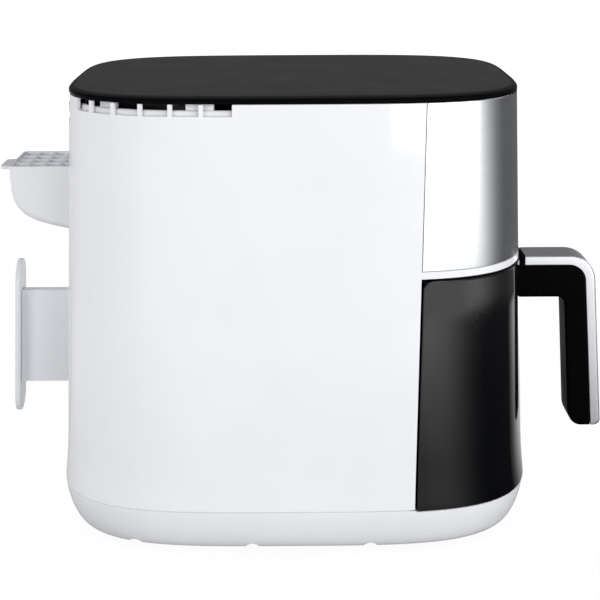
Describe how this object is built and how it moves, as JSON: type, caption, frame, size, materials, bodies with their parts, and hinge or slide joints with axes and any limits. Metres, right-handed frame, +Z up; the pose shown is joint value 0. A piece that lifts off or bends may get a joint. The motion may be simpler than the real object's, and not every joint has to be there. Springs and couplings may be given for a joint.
{
  "type": "basket air fryer",
  "caption": "Rounded-square basket air fryer with a pull-out drawer and pan, a side-on bar handle, a rear hot air outlet and a cord wrap.",
  "frame": {"origin": "on the surface it stands on, under the middle of the whole object with its handle and rear outlet", "axes": "+Z up; the drawer and its handle face -Y; +Y runs to the rear outlet; +X is to the right seen from the front"},
  "size_m": [0.3124, 0.4378, 0.3096],
  "materials": {
    "white_plastic": "glossy white injection-moulded plastic",
    "lid_plastic": "satin dark grey top with a glossy near-black edge",
    "black_gloss": "piano-black gloss plastic",
    "black_matt": "fine-textured matt black plastic",
    "silver_trim": "satin silver plated plastic",
    "brushed_steel": "stainless steel brushed along the object",
    "panel_glass": "black clear-fronted control window, switched off",
    "plain_steel": "plain mill-finish steel",
    "bare_aluminium": "aluminised sheet",
    "non_stick": "dark non-stick coating",
    "rubber_foot": "soft dark silicone",
    "circuit_board": "green circuit board",
    "motor_winding": "steel-cased motor with copper windings"
  },
  "bodies": {
    "housing": {"foot_front_left": "rubber_foot", "foot_rear_left": "rubber_foot", "foot_front_right": "rubber_foot", "foot_rear_right": "rubber_foot", "base_screw_front_left": "plain_steel", "base_screw_rear_left": "plain_steel", "base_screw_front_right": "plain_steel", "base_screw_rear_right": "plain_steel", "base_tray": "white_plastic", "housing_shell": "white_plastic", "top_lid": "lid_plastic", "steel_face": "brushed_steel", "touch_panel": "panel_glass", "rear_grille": "black_matt", "outlet_hood": "white_plastic", "outlet_grid": "white_plastic", "exhaust_duct": "bare_aluminium", "cord_wrap": "white_plastic", "cord_gland": "black_matt", "front_frame": "black_matt", "cavity_liner": "bare_aluminium", "rail_left": "plain_steel", "rail_right": "plain_steel", "heater_dome": "bare_aluminium", "heating_element": "plain_steel", "element_guard": "plain_steel", "heat_shield": "bare_aluminium", "motor_bracket": "plain_steel", "motor": "motor_winding", "control_board": "circuit_board", "power_board": "circuit_board", "thermal_cutout": "plain_steel", "temperature_sensor": "plain_steel", "drawer_switch": "black_matt"},
    "drawer": {"drawer_front": "black_gloss", "drawer_back": "black_matt", "handle_bracket": "plain_steel", "handle_grip": "black_matt", "handle_trim": "silver_trim", "handle_screw_1": "plain_steel", "handle_screw_2": "plain_steel", "drawer_pan": "non_stick"},
    "crisper": {"crisper_plate": "non_stick", "plate_bumper_1": "rubber_foot", "plate_bumper_2": "rubber_foot", "plate_bumper_3": "rubber_foot", "plate_bumper_4": "rubber_foot"},
    "fan_rotor": {"motor_shaft": "plain_steel", "hot_air_fan": "bare_aluminium", "fan_nut": "plain_steel", "cooling_fan": "black_matt"},
    "switch_plunger": {"switch_plunger": "white_plastic"}
  },
  "joints": [
    {"name": "drawer_slide", "type": "slide", "parent": "housing", "child": "drawer", "axis": [0, -1, 0], "range_m": [0, 0.19]},
    {"name": "crisper_lift", "type": "slide", "parent": "drawer", "child": "crisper", "axis": [0, 0, 1], "range_m": [0, 0.1]},
    {"name": "fan_spin", "type": "hinge", "parent": "housing", "child": "fan_rotor", "pos_m": [0, 0.0314, 0.25], "axis": [0, 0, 1], "continuous": true},
    {"name": "switch_press", "type": "slide", "parent": "housing", "child": "switch_plunger", "axis": [0, 1, 0], "range_m": [0, 0.002], "stiffness_N_per_m": 150, "springref_m": -0.002}
  ]
}
